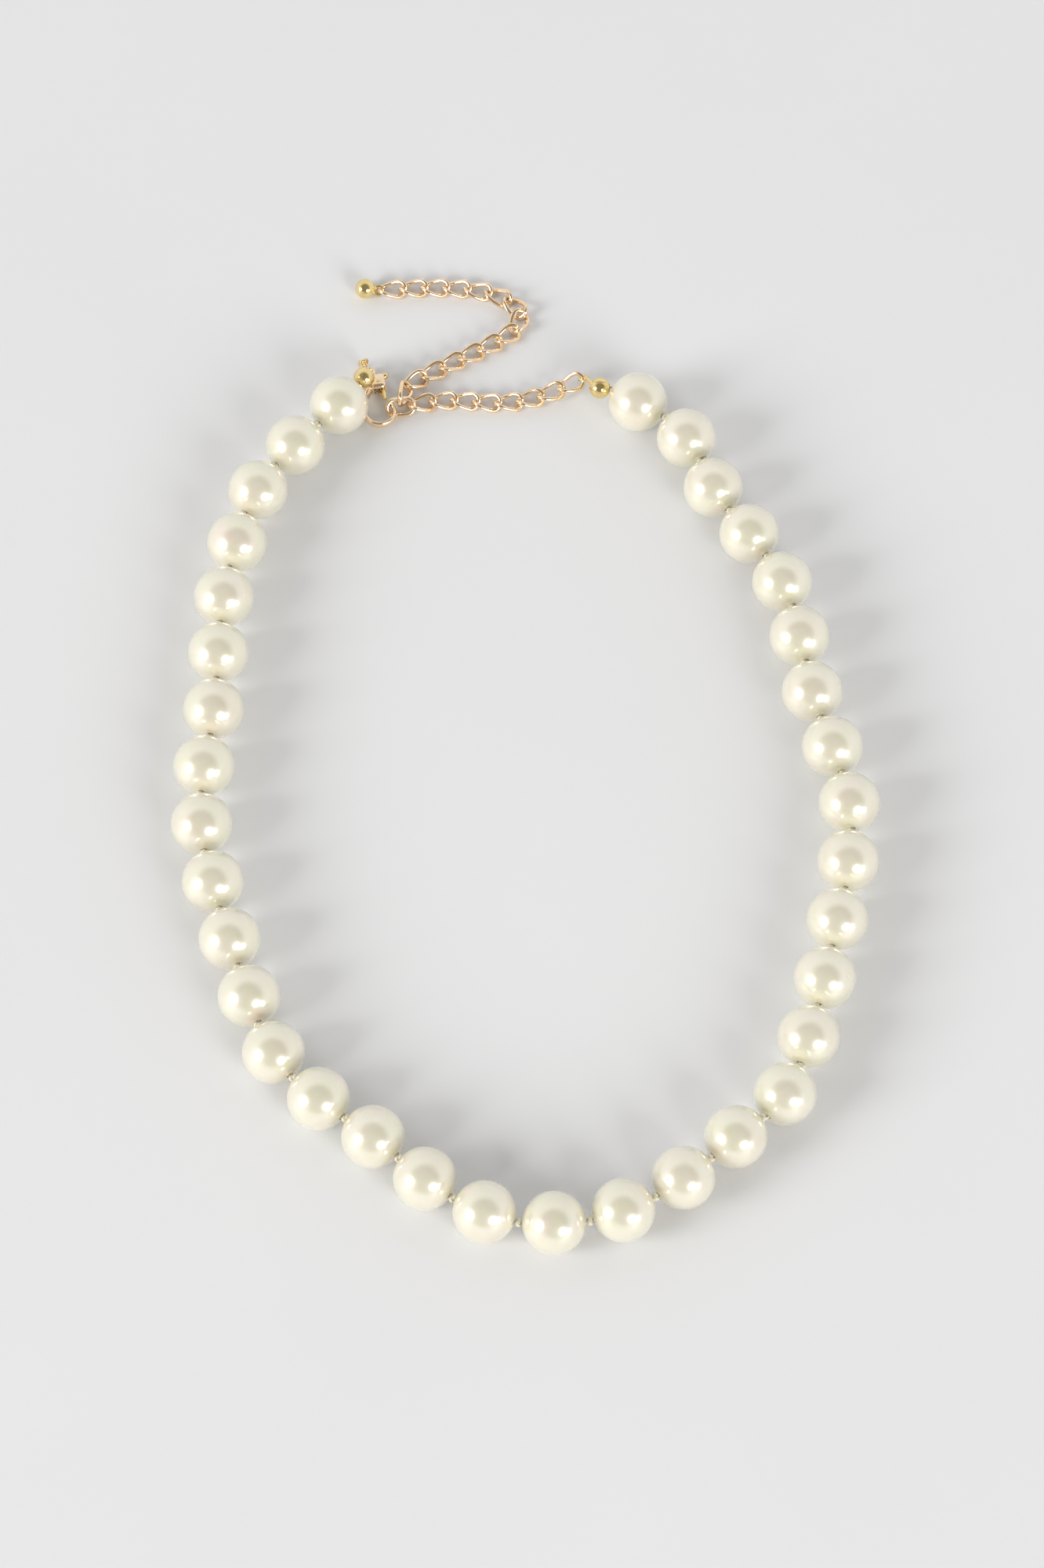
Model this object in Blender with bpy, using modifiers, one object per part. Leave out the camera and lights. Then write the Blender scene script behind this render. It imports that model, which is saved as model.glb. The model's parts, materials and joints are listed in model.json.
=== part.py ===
"""Knotted pearl necklace with a lobster clasp and an extender chain.

It lies fastened on a flat surface: pearls, bead tips, jump ring, clasp and curb chain.
Metres, +Z up. The origin is under the middle of the whole necklace, on the surface.
Every moving piece hangs from an empty that stands on its hinge, whose Z is the hinge axis.
"""
import math

import bmesh
import bpy
from mathutils import Matrix, Vector

# Strand: round pearls on a silk thread that is knotted between them
PEARL_COUNT = 35
PEARL_DIAMETER = 0.0100
BORE_DIAMETER = 0.0010
KNOT_GAP = 0.0009
THREAD_DIAMETER = 0.0004
KNOT_DIAMETER = 0.0011
KNOT_CLEARANCE = 0.00020
# The strand's way from the left bead tip to the first pearl, and from the right one to the last
FIRST_HEADING = math.radians(234)
LAST_HEADING = math.radians(-24)

# Bead tips: thin gold shells that hide the thread's end knots
TIP_DIAMETER = 0.0036
TIP_WALL = 0.0003
TIP_HOLE_DIAMETER = 0.0009
TIP_GAP = 0.0002
END_KNOT_DIAMETER = 0.0016
STEM_REACH = 0.0050
STEM_DIAMETER = 0.0006
LOOP_RADIUS = 0.00078
LOOP_WIRE = 0.00044
LEFT_TIP_HEADING = math.radians(-88)
RIGHT_TIP_HEADING = math.radians(-52)

# Extender chain: 24 curb links, twisted a quarter turn along their length
LINK_COUNT = 24
LINK_PITCH = 0.0037
LINK_WIRE = 0.00066
LINK_HOLE_WIDTH = 0.0021
LINK_CLEARANCE = 0.00024
LINK_ROLL = math.radians(45)
TAIL_SHIFT = 0.0002
CHAIN_HEIGHT = 0.00105
HELD_LINK = 9
HELD_TURN = math.radians(8)
PAIRED_LINKS = ((1, 2), (3, 4), (5, 6), (7, 8), (10, 11), (12, 13), (14, 15), (22, 23))
JOINING_DOT = 0.6
BALL_DIAMETER = 0.0034
BALL_SINK = 0.9

# Lobster clasp, lying on its side: a hooked body, a sprung lever and its pin
CLASP_HEIGHT = 0.0013
CLASP_TURN = math.radians(9)
HOOK_WIRE = 0.0009
HOOK_RADIUS = 0.0025
HOOK_TIP_ANGLE = math.radians(57)
HELD_ANGLE = math.radians(14)
HELD_CLEARANCE = 0.0003
PIVOT_OFFSET = (0.0006, 0.0057)
EYE_OFFSET = (-0.0013, 0.00275)
HEAD_OFFSET = (-0.0002, 0.0003)
# The shank runs down from the head, along its side, to the hook's bend
SHANK_FROM_PIVOT = ((-0.0014, 0.0006), (-0.0020, -0.0012))
SHANK_FROM_BEND = ((-0.0020, 0.0030), (-0.0024, 0.0014))
HEAD_WIDTH = 0.0029
HEAD_LENGTH = 0.0031
HEAD_THICKNESS = 0.0024
SLOT_THICKNESS = 0.0013
SLOT_BACK = 0.0009
SLOT_RELIEF = 0.00005
LEVER_THICKNESS = 0.0008
LEVER_GAP = 0.0003
HUB_DIAMETER = 0.0015
GATE_DIAMETER = 0.00076
GATE_BOW = (0.00025, 0.00015)
TAB_DIAMETER = 0.00072
KNOB_DIAMETER = 0.0012
THUMB_OFFSET = (0.0013, 0.0017)
PIN_DIAMETER = 0.0006
PIN_CLEARANCE = 0.00006
SPRING_WIRE = 0.0002
SPRING_BENDS = (
    (-0.0001, -0.00118), (-0.0004, -0.00100), (-0.0007, -0.00110),
    (-0.0007, -0.00140), (-0.0004, -0.00165),
)
EYE_RADIUS = 0.00088
EYE_WIRE = 0.00068
RING_RADIUS = 0.00125
RING_WIRE = 0.0005
RING_HEIGHT = 0.0016
RING_OUTWARD = (-0.66, 0.75)

PEARL_PITCH = PEARL_DIAMETER + KNOT_GAP
PEARL_RADIUS = PEARL_DIAMETER / 2
BORE_MOUTH = Vector((0, 0, PEARL_RADIUS))
TIP_RADIUS = TIP_DIAMETER / 2
BAR_OFFSET = (LINK_WIRE + LINK_CLEARANCE) / 2
UP = Vector((0, 0, 1))
DOWN = -UP
# The knots bend by turns: flat on the table, then out of it, up, down, down, up
BEND_SIGNS = (1, -1, -1, 1)

# Route points between two points of a list, for a smooth curve
ROUTE_STEPS = 24
RUN_ON_STEP = 0.05
RUN_ON_COUNT = 200

# Route of the strand from the clasp side round to the chain side, in pearl pitches
STRAND_ROUTE = (
    (0.00, 0.00), (-1.15, -1.45), (-1.65, -3.35), (-1.75, -5.30), (-1.90, -7.30),
    (-1.45, -9.30), (-0.75, -11.25), (-0.05, -12.05), (0.80, -12.70), (1.55, -13.35),
    (2.40, -13.85), (3.40, -14.00), (4.35, -13.80), (5.20, -13.30), (5.95, -12.65),
    (6.65, -12.00), (7.05, -11.00), (7.50, -9.15), (7.75, -7.20), (7.25, -5.20),
    (6.85, -3.25), (5.85, -1.55), (5.40, -0.55), (4.70, 0.07),
)
# Routes of the chain from the held link, in link pitches: x, y and height over the floor
RUN_ROUTE = (
    (0.0, 0.0, 0.0), (0.95, 0.28, 0.0), (1.95, 0.36, 0.0), (2.9, 0.28, 0.0), (3.9, 0.20, 0.0),
    (4.9, 0.28, 0.0), (5.85, 0.50, 0.05), (6.8, 0.85, 0.2), (7.7, 1.2, 0.45),
)
TAIL_ROUTE = (
    (0.0, 0.0, 0.35), (0.3, 0.85, 0.15), (1.0, 1.45, 0.0), (2.1, 2.1, 0.0), (3.6, 2.95, 0.0),
    (4.4, 3.45, 0.0), (5.2, 4.0, 0.0), (5.6, 4.8, 0.0), (5.15, 5.6, 0.0), (4.3, 6.1, 0.0),
    (3.25, 6.4, 0.0), (1.3, 6.5, 0.0), (-0.6, 6.4, 0.0), (-2.6, 6.3, 0.0),
)

placed = {}


# ---- Making and joining solids

def material(name, colour, roughness, metallic):
    """A Principled BSDF in one colour."""
    made = bpy.data.materials.new(name)
    made.use_nodes = True
    shader = made.node_tree.nodes["Principled BSDF"]
    shader.inputs["Base Color"].default_value = (*colour, 1)
    shader.inputs["Roughness"].default_value = roughness
    shader.inputs["Metallic"].default_value = metallic
    return made


def frame(origin, forward, up=UP):
    """A right-handed frame: x to the left of travel, y up, z forward."""
    z = Vector(forward).normalized()
    x = Vector(up).cross(z).normalized()
    y = z.cross(x)
    turned = Matrix((x, y, z)).transposed().to_4x4()
    return Matrix.Translation(origin) @ turned


def hang(child, parent, world):
    """Parents a piece or a pivot, and puts it at its place in the world."""
    child.parent = parent
    child.matrix_parent_inverse = placed[parent.name].inverted()
    child.matrix_basis = world
    placed[child.name] = world


def pivot(name, at, axis, parent):
    """An empty on a hinge, with its Z along the hinge axis."""
    empty = bpy.data.objects.new("pivot_" + name, None)
    empty.empty_display_size = 0.002
    parts.objects.link(empty)
    side = Vector((0, 1, 0)) if abs(axis.z) > 0.9 else UP
    hang(empty, parent, frame(at, axis, side))
    return empty


def add_object(name, data, collection, world=Matrix()):
    obj = bpy.data.objects.new(name, data)
    collection.objects.link(obj)
    obj.matrix_world = world
    placed[name] = world
    return obj


def wire(name, points, diameter, closed=False, swell=None, sides=6):
    """A round wire along points, with a radius factor at each point if swell is given."""
    curve = bpy.data.curves.new(name, "CURVE")
    curve.dimensions = "3D"
    curve.bevel_depth = diameter / 2
    curve.bevel_resolution = (sides - 4) // 2
    curve.use_fill_caps = not closed
    spline = curve.splines.new("POLY")
    spline.points.add(len(points) - 1)
    for index, point in enumerate(points):
        spline.points[index].co = (*point, 1)
        spline.points[index].radius = swell[index] if swell else 1
    spline.use_cyclic_u = closed
    return add_object(name, curve, cutters)


def as_mesh(obj):
    """Turns a curve into a mesh with its caps welded, at the same place."""
    bpy.context.view_layer.update()
    evaluated = obj.evaluated_get(bpy.context.evaluated_depsgraph_get())
    mesh = bpy.data.meshes.new_from_object(evaluated)
    shaped = bmesh.new()
    shaped.from_mesh(mesh)
    bmesh.ops.remove_doubles(shaped, verts=shaped.verts, dist=1e-7)
    bmesh.ops.recalc_face_normals(shaped, faces=shaped.faces)
    shaped.to_mesh(mesh)
    shaped.free()
    name, world = obj.name, obj.matrix_world.copy()
    bpy.data.objects.remove(obj)
    return add_object(name, mesh, cutters, world)


def primitive(name, build, **sizes):
    """A bmesh primitive at the world's origin."""
    shaped = bmesh.new()
    build(shaped, **sizes)
    mesh = bpy.data.meshes.new(name)
    shaped.to_mesh(mesh)
    shaped.free()
    return add_object(name, mesh, cutters)


def block(name, size, centre):
    return primitive(
        name, bmesh.ops.create_cube, size=1,
        matrix=Matrix.Translation(centre) @ Matrix.Diagonal((*size, 1)),
    )


def rod(name, diameter, length, centre, sides=16):
    return primitive(
        name, bmesh.ops.create_cone, cap_ends=True, segments=sides,
        radius1=diameter / 2, radius2=diameter / 2, depth=length,
        matrix=Matrix.Translation(centre),
    )


def ball(name, diameter, centre, rings=10):
    return primitive(
        name, bmesh.ops.create_uvsphere, u_segments=2 * rings, v_segments=rings,
        radius=diameter / 2, matrix=Matrix.Translation(centre),
    )


def arc_angles(start, end, count):
    """Angles from start to end in even steps."""
    return [start + (end - start) * index / count for index in range(count + 1)]


def ring_points(centre, normal, radius, count=12):
    """Points round a circle."""
    turned = frame(centre, normal, UP if abs(normal.z) < 0.9 else Vector((1, 0, 0)))
    angles = [2 * math.pi * index / count for index in range(count)]
    return [turned @ Vector((radius * math.cos(a), radius * math.sin(a), 0)) for a in angles]


def combine(target, operation, *others):
    """Booleans the others into or out of the target, and applies them."""
    for other in others:
        modifier = target.modifiers.new(operation.lower(), "BOOLEAN")
        modifier.operation = operation
        modifier.object = other
        modifier.solver = "EXACT"
    bpy.context.view_layer.update()
    evaluated = target.evaluated_get(bpy.context.evaluated_depsgraph_get())
    mesh = bpy.data.meshes.new_from_object(evaluated)
    target.modifiers.clear()
    target.data = mesh
    for other in others:
        bpy.data.objects.remove(other)
    return target


def finish(obj, stuff, parent, world):
    """Moves a solid into its own frame, hangs it there and gives it its material."""
    obj.data.transform(world.inverted() @ placed[obj.name])
    if obj.type == "MESH":
        obj.data.shade_smooth()
        obj.data.set_sharp_from_angle(angle=math.radians(40))
    obj.data.materials.clear()
    obj.data.materials.append(stuff)
    cutters.objects.unlink(obj)
    parts.objects.link(obj)
    hang(obj, parent, world)
    return obj


# ---- Routes

def smooth(points):
    """A dense smooth curve through the points, run on straight past its last one."""
    points = [Vector((*point, 0)) if len(point) == 2 else Vector(point) for point in points]
    ends = [2 * points[0] - points[1], *points, 2 * points[-1] - points[-2]]
    dense = []
    for before, start, end, after in zip(ends, ends[1:], ends[2:], ends[3:]):
        for step in range(ROUTE_STEPS):
            t = step / ROUTE_STEPS
            dense.append(0.5 * (
                2 * start + t * (end - before)
                + t * t * (2 * before - 5 * start + 4 * end - after)
                + t ** 3 * (3 * start - before - 3 * end + after)
            ))
    dense.append(points[-1])
    run_on = (dense[-1] - dense[-2]).normalized()
    dense.extend(points[-1] + run_on * RUN_ON_STEP * step for step in range(1, RUN_ON_COUNT))
    return dense


def stride(dense, length, count):
    """Points along a dense curve, each one length from the last in a straight line."""
    found = [dense[0].copy()]
    index = 1
    while len(found) < count:
        here = found[-1]
        while (dense[index] - here).length < length:
            index += 1
        before, after = dense[index - 1], dense[index]
        low, high = 0.0, 1.0
        for _ in range(40):
            middle = (low + high) / 2
            if (before.lerp(after, middle) - here).length < length:
                low = middle
            else:
                high = middle
        found.append(before.lerp(after, high))
    return found


def strand_centres(first, last):
    """Pearl centres from first to last: the loop is deepened until the pearls just fill it."""
    shape = smooth(STRAND_ROUTE)[: (len(STRAND_ROUTE) - 1) * ROUTE_STEPS + 1]
    start, end = shape[0], shape[-1]
    span = (end - start).length
    across = (last - first) / span
    turn = (end - start).to_2d().angle_signed((last - first).to_2d())
    turned = Matrix.Rotation(-turn, 3, "Z")
    low, high = 0.3, 3.0
    for _ in range(50):
        depth = (low + high) / 2
        dense = []
        for point in shape:
            along = (point - start).dot(end - start) / span
            bulge = turned @ (point - start - (end - start) * along / span)
            sideways = min(1.0, max(0.0, along / span))
            over = turned @ ((end - start) / span) * (along - sideways * span)
            sunk = (bulge + over) * depth * PEARL_PITCH
            dense.append(first + across * sideways * span + sunk)
        run_on = (dense[-1] - dense[-2]).normalized()
        dense.extend(last + run_on * PEARL_PITCH * step for step in range(1, PEARL_COUNT))
        centres = stride(dense, PEARL_PITCH, PEARL_COUNT)
        spare = (centres[-1] - last).dot(run_on)
        if spare > 0:
            low = depth
        else:
            high = depth
    return centres


# ---- Clasp

def clasp_frame():
    """The clasp's own frame: x across it, y from the hook's bend to the eye."""
    return Matrix.Translation((0, 0, CLASP_HEIGHT)) @ Matrix.Rotation(CLASP_TURN, 4, "Z")


def flat(offset):
    """An offset in the clasp's plane as a vector."""
    return Vector((*offset, 0))


def on_bend(angle):
    """A point on the hook's bend, on the middle of its wire."""
    return BEND + HOOK_RADIUS * flat((math.cos(angle), math.sin(angle)))


BEND = flat((0, HOOK_RADIUS + HOOK_WIRE / 2))
PIVOT_POINT = BEND + flat(PIVOT_OFFSET)
EYE_POINT = PIVOT_POINT + flat(EYE_OFFSET)
HOOK_TIP = on_bend(HOOK_TIP_ANGLE)
HELD_POINT = on_bend(HELD_ANGLE)


def clasp_body():
    """A hooked wire, a head with a slot and a pin hole, and an eye, cast in one."""
    arc = [on_bend(angle) for angle in arc_angles(math.pi, 2 * math.pi + HOOK_TIP_ANGLE, 14)]
    shank = [PIVOT_POINT + flat(offset) for offset in SHANK_FROM_PIVOT]
    shank += [BEND + flat(offset) for offset in SHANK_FROM_BEND]
    body = as_mesh(wire("clasp_body", shank + arc, HOOK_WIRE, sides=8))
    head_centre = PIVOT_POINT + flat(HEAD_OFFSET)
    head = block("head", (HEAD_WIDTH, HEAD_LENGTH, HEAD_THICKNESS), head_centre)
    eye = as_mesh(wire("eye", ring_points(EYE_POINT, UP, EYE_RADIUS, 14), EYE_WIRE, True))
    combine(body, "UNION", head, eye)
    slot_top = head_centre.y + HEAD_LENGTH / 2 + SLOT_RELIEF
    slot = block(
        "slot", (HEAD_WIDTH, 2 * HEAD_LENGTH, SLOT_THICKNESS),
        flat((PIVOT_POINT.x + HEAD_WIDTH / 2 - SLOT_BACK, slot_top - HEAD_LENGTH)),
    )
    hole = rod("hole", PIN_DIAMETER + 2 * PIN_CLEARANCE, 2 * HEAD_THICKNESS, PIVOT_POINT)
    return combine(body, "DIFFERENCE", slot, hole)


def clasp_lever():
    """A gate that closes the hook, a hub on the pin and a thumb tab, in one piece."""
    gate_end = HOOK_TIP + (PIVOT_POINT - HOOK_TIP).normalized() * LEVER_GAP
    gate = [
        PIVOT_POINT,
        PIVOT_POINT.lerp(gate_end, 0.55) + flat(GATE_BOW),
        gate_end,
    ]
    thumb = PIVOT_POINT + flat(THUMB_OFFSET)
    lever = rod("clasp_lever", HUB_DIAMETER, LEVER_THICKNESS, PIVOT_POINT)
    arm = as_mesh(wire("arm", gate, GATE_DIAMETER, sides=8))
    tab = as_mesh(wire("tab", [PIVOT_POINT, thumb], TAB_DIAMETER, sides=8))
    knob = ball("knob", KNOB_DIAMETER, thumb)
    combine(lever, "UNION", arm, tab, knob)
    hole = rod("hole", PIN_DIAMETER + 2 * PIN_CLEARANCE, HEAD_THICKNESS, PIVOT_POINT)
    return combine(lever, "DIFFERENCE", hole)


def clasp_spring():
    """A bent leaf of steel wire between the lever's hub and the slot's end."""
    return wire("clasp_spring", [PIVOT_POINT + flat(bend) for bend in SPRING_BENDS], SPRING_WIRE)


def build_clasp():
    """Body, pin, spring and lever, made in the clasp's own frame."""
    world = clasp_frame()
    at_pivot = world @ Matrix.Translation(PIVOT_POINT)
    body = clasp_body()
    pin = rod("clasp_pin", PIN_DIAMETER, HEAD_THICKNESS, PIVOT_POINT)
    spring = clasp_spring()
    lever = clasp_lever()
    for piece in (body, pin, spring, lever):
        placed[piece.name] = world
    finish(body, gold, root, world)
    finish(pin, gold, body, at_pivot)
    finish(spring, steel, body, world)
    hinge = pivot("clasp_lever", world @ PIVOT_POINT, DOWN, body)
    finish(lever, gold, hinge, at_pivot)
    return body


# ---- Chain

def link_points(pitch, roll_start, roll_end):
    """The centre line of a stadium link along z, twisted from one roll to the other."""
    half_width = (LINK_HOLE_WIDTH + LINK_WIRE) / 2
    half_length = pitch / 2 + BAR_OFFSET
    straight = half_length - half_width
    outline = []
    for side in (1, -1):
        for step in range(7):
            angle = math.pi * (step / 6 - 0.5)
            along = straight + half_width * math.cos(angle)
            outline.append((side * along, side * half_width * math.sin(angle)))
    points = []
    for along, across in outline:
        share = 0.5 + along / (2 * half_length)
        roll = roll_start + (roll_end - roll_start) * share
        points.append(Vector((across * math.cos(roll), across * math.sin(roll), along)))
    return points


def build_link(name, start, end, roll_start, roll_end):
    """One link between two meeting points, as a curve in the world's frame."""
    world = frame((start + end) / 2, end - start)
    pitch = (end - start).length
    return wire(name, [world @ p for p in link_points(pitch, roll_start, roll_end)],
                LINK_WIRE, closed=True)


def link_rolls(number):
    if number == HELD_LINK:
        return -LINK_ROLL, -LINK_ROLL
    if number == HELD_LINK + 1:
        return math.radians(90), LINK_ROLL
    return -LINK_ROLL, LINK_ROLL


def lay_route(route, start):
    """A chain route in metres, from a start over the floor to its lowest height."""
    laid = [Vector((start.x, start.y, CHAIN_HEIGHT)) + LINK_PITCH * Vector(p) for p in route]
    laid[0] = start.copy()
    return laid


def chain_meetings():
    """Where each link meets the next, from the bead tip's end to the ball's end."""
    held = clasp_frame() @ HELD_POINT
    outward = Matrix.Rotation(HELD_TURN, 3, "Z") @ Vector((1, 0, 0))
    inner_bar = LINK_WIRE / 2 + HELD_CLEARANCE + HOOK_WIRE / 2
    inner_end = held - outward * (inner_bar - BAR_OFFSET)
    outer_end = inner_end + outward * LINK_PITCH
    route = lay_route(RUN_ROUTE, outer_end)
    run = stride(smooth(route), LINK_PITCH, HELD_LINK)
    half_width = (LINK_HOLE_WIDTH + LINK_WIRE) / 2
    side = UP.cross(outward)
    rail = (inner_end + outer_end) / 2 + outward * TAIL_SHIFT
    rail += (side + UP) * half_width * math.cos(LINK_ROLL)
    route = lay_route(TAIL_ROUTE, rail)
    route[0] = rail - (route[1] - rail).normalized() * BAR_OFFSET
    tail = stride(smooth(route), LINK_PITCH, LINK_COUNT - HELD_LINK + 1)
    return list(reversed(run)), (outer_end, inner_end), tail


def build_chain(clasp):
    """Hangs the held link on the clasp, and the run and the tail on the held link.

    Returns each link's two meeting points, and the hinges of the run's and the tail's last links.
    """
    run, held, tail = chain_meetings()
    spans = {HELD_LINK: held}
    for index in range(HELD_LINK - 1):
        spans[index + 1] = (run[index], run[index + 1])
    for index in range(LINK_COUNT - HELD_LINK):
        spans[HELD_LINK + 1 + index] = (tail[index], tail[index + 1])
    holder = pivot(link_name((HELD_LINK,)), clasp_frame() @ HELD_POINT, UP, clasp)
    add_links((HELD_LINK,), spans, holder)
    groups = group_links()
    before = [g for g in reversed(groups) if g[-1] < HELD_LINK]
    after = [g for g in groups if g[0] > HELD_LINK]
    last_hinges = []
    for chain, joint_end in ((before, 1), (after, 0)):
        parent = holder
        for index, group in enumerate(chain):
            start, end = spans[group[0]][0], spans[group[-1]][1]
            at = (start, end)[joint_end]
            axis = UP if index % 2 == 0 else UP.cross(end - start).normalized()
            parent = pivot(link_name(group), at, axis, parent)
            add_links(group, spans, parent)
        last_hinges.append(parent)
    return spans, last_hinges


def link_name(group):
    return "chain_link_" + "_".join(f"{number:02d}" for number in group)


def group_links():
    """All links but the held one, in order, alone or in pairs."""
    groups = []
    number = 1
    while number <= LINK_COUNT:
        group = next((pair for pair in PAIRED_LINKS if pair[0] == number), (number,))
        if number != HELD_LINK:
            groups.append(group)
        number += len(group)
    return groups


def add_links(group, spans, parent):
    """A node of one link, or of two links joined by a dot where they meet."""
    made = []
    for number in group:
        name = link_name(group) if number == group[0] else "second_link"
        made.append(build_link(name, *spans[number], *link_rolls(number)))
    node = made[0]
    world = frame(spans[group[0]][0], spans[group[-1]][1] - spans[group[0]][0])
    if len(group) == 2:
        meeting = spans[group[0]][1]
        dot = ball("dot", LINK_CLEARANCE + LINK_WIRE * JOINING_DOT, meeting, rings=6)
        node = as_mesh(node)
        combine(node, "UNION", as_mesh(made[1]), dot)
    finish(node, gold, parent, world)


# ---- Strand

def loop_centre(meeting, forward, roll):
    """Where a loop round a link's end bar has its centre, and the bar's direction there."""
    world = frame(meeting, forward)
    bar = world.to_3x3() @ Vector((math.cos(roll), math.sin(roll), 0))
    return meeting + Vector(forward).normalized() * BAR_OFFSET, bar


def tip_centre(loop, heading):
    """A bead tip's centre: level with the pearls' bores, one stem away from its loop."""
    rise = PEARL_RADIUS - loop.z
    reach = math.sqrt(STEM_REACH ** 2 - rise ** 2)
    return Vector((loop.x + reach * math.cos(heading), loop.y + reach * math.sin(heading),
                   PEARL_RADIUS))


def shell_profile():
    """The profile of a thin shell with a thread hole at its forward end."""
    hole = TIP_HOLE_DIAMETER / 2
    inner = TIP_RADIUS - TIP_WALL
    outside = [Vector((TIP_RADIUS * math.sin(a), 0, TIP_RADIUS * math.cos(a)))
               for a in arc_angles(math.asin(hole / TIP_RADIUS), math.pi, 9)]
    inside = [Vector((inner * math.sin(a), 0, inner * math.cos(a)))
              for a in arc_angles(math.pi, math.asin(hole / inner), 7)]
    outside[-1].x = 0
    inside[0].x = 0
    return outside + inside


def turned_outline(name, profile):
    """A closed profile at +X as a mesh of edges."""
    mesh = bpy.data.meshes.new(name)
    count = len(profile)
    mesh.from_pydata(profile, [(i, (i + 1) % count) for i in range(count)], [])
    return mesh


def screw(name, outline, steps):
    """An outline at +X turned about Z."""
    obj = add_object(name, outline, cutters)
    modifier = obj.modifiers.new("turn", "SCREW")
    modifier.steps = steps
    modifier.render_steps = steps
    modifier.use_merge_vertices = True
    modifier.merge_threshold = 1e-6
    return obj


def build_tip(name, centre, loop, bar, bore_mouth, hinge_parent, axis):
    """A bead tip: shell, stem and loop, hung on its loop's hinge."""
    shell = as_mesh(screw(name, turned_outline(name, shell_profile()), 14))
    world = frame(centre, bore_mouth - centre)
    shell.data.transform(world)
    toward = (loop - centre).normalized()
    away = centre - loop
    away = (away - bar * away.dot(bar)).normalized()
    rim = loop + away * LOOP_RADIUS
    stem = as_mesh(wire("stem", [centre + toward * (TIP_RADIUS - TIP_WALL / 2),
                                 centre.lerp(rim, 0.75), rim], STEM_DIAMETER))
    eye = as_mesh(wire("loop", ring_points(loop, bar, LOOP_RADIUS), LOOP_WIRE, True))
    combine(shell, "UNION", stem, eye)
    hinge = pivot(name, loop, axis, hinge_parent)
    finish(shell, tip_gold, hinge, world)
    return hinge


def pearl_profile():
    """The outside of a bored pearl from top to bottom. Closing it makes its bore."""
    bore = BORE_DIAMETER / 2
    first = math.asin(bore / PEARL_RADIUS)
    return [Vector((PEARL_RADIUS * math.sin(a), 0, PEARL_RADIUS * math.cos(a)))
            for a in arc_angles(first, math.pi - first, 8)]


def strand_frames(centres, tips):
    """A frame on each pearl, with z along its bore."""
    line = [tips[0], *centres, tips[1]]
    return [frame(here, after - before)
            for before, here, after in zip(line, line[1:], line[2:])]


def knot_points(frames):
    """The middle of each knot, between the mouths of two neighbouring bores."""
    return [(a @ BORE_MOUTH + b @ -BORE_MOUTH) / 2 for a, b in zip(frames, frames[1:])]


def build_pearls(frames, knots, ends):
    """Two branches of pearls, one from each bead tip, that meet at the front."""
    outline = turned_outline("pearl", pearl_profile())
    outline.materials.append(ivory)
    half = (PEARL_COUNT - 1) // 2
    left = [(index, knots[index - 1]) for index in range(half)]
    left[0] = (0, frames[0] @ -BORE_MOUTH)
    right = [(index, knots[index]) for index in range(PEARL_COUNT - 2, half - 1, -1)]
    right.insert(0, (PEARL_COUNT - 1, frames[-1] @ BORE_MOUTH))
    for branch, parent, upright in ((left, ends[0], DOWN), (right, ends[1], UP)):
        for count, (index, at) in enumerate(branch):
            name = f"pearl_{index + 1:02d}"
            sign = BEND_SIGNS[count // 2 % len(BEND_SIGNS)]
            across = frames[index].to_3x3() @ Vector((sign, 0, 0))
            parent = pivot(name, at, upright if count % 2 == 0 else across, parent)
            pearl = screw(name, outline, 12)
            cutters.objects.unlink(pearl)
            parts.objects.link(pearl)
            hang(pearl, parent, frames[index])


def build_thread(frames, knots, tips, holder):
    """One silk thread from tip to tip, swollen to a knot in each gap and in each tip."""
    knot_half = KNOT_GAP / 2 - KNOT_CLEARANCE
    fat = KNOT_DIAMETER / THREAD_DIAMETER
    end_fat = END_KNOT_DIAMETER / THREAD_DIAMETER
    points, swell = [], []

    def add(point, factor=1.0):
        points.append(point)
        swell.append(factor)

    def end_knot(centre, inward):
        return [(centre + inward * END_KNOT_DIAMETER * share, factor)
                for share, factor in ((-0.5, 0.6), (-0.2, end_fat), (0.2, end_fat), (0.5, 1.0))]

    inward = (frames[0] @ -BORE_MOUTH - tips[0]).normalized()
    for point, factor in end_knot(tips[0], inward):
        add(point, factor)
    add(frames[0] @ -BORE_MOUTH)
    for index, placement in enumerate(frames):
        add(placement @ BORE_MOUTH)
        if index < len(knots):
            centre, following = placement.translation, frames[index + 1].translation
            forward = (following - centre).normalized()
            add(knots[index] - forward * knot_half * 0.5, fat)
            add(knots[index] + forward * knot_half * 0.5, fat)
            add(frames[index + 1] @ -BORE_MOUTH)
    inward = (frames[-1] @ BORE_MOUTH - tips[1]).normalized()
    for point, factor in reversed(end_knot(tips[1], inward)):
        add(point, factor)
    thread = wire("silk_thread", points, THREAD_DIAMETER, swell=swell)
    finish(thread, silk, holder, Matrix())


def build_ring(clasp):
    """A jump ring through the clasp's eye, standing on edge, with its hinge and its top."""
    eye = clasp_frame() @ EYE_POINT
    outward = flat(RING_OUTWARD).normalized()
    drop = RING_HEIGHT - eye.z
    centre = eye + outward * math.sqrt(RING_RADIUS ** 2 - drop ** 2)
    centre.z = RING_HEIGHT
    normal = outward.cross(UP)
    ring = as_mesh(wire("jump_ring", ring_points(centre, normal, RING_RADIUS, 16),
                        RING_WIRE, True))
    hinge = pivot("jump_ring", eye, DOWN, clasp)
    finish(ring, gold, hinge, frame(centre, normal))
    top = centre + UP * RING_RADIUS
    return hinge, top, outward


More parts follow.
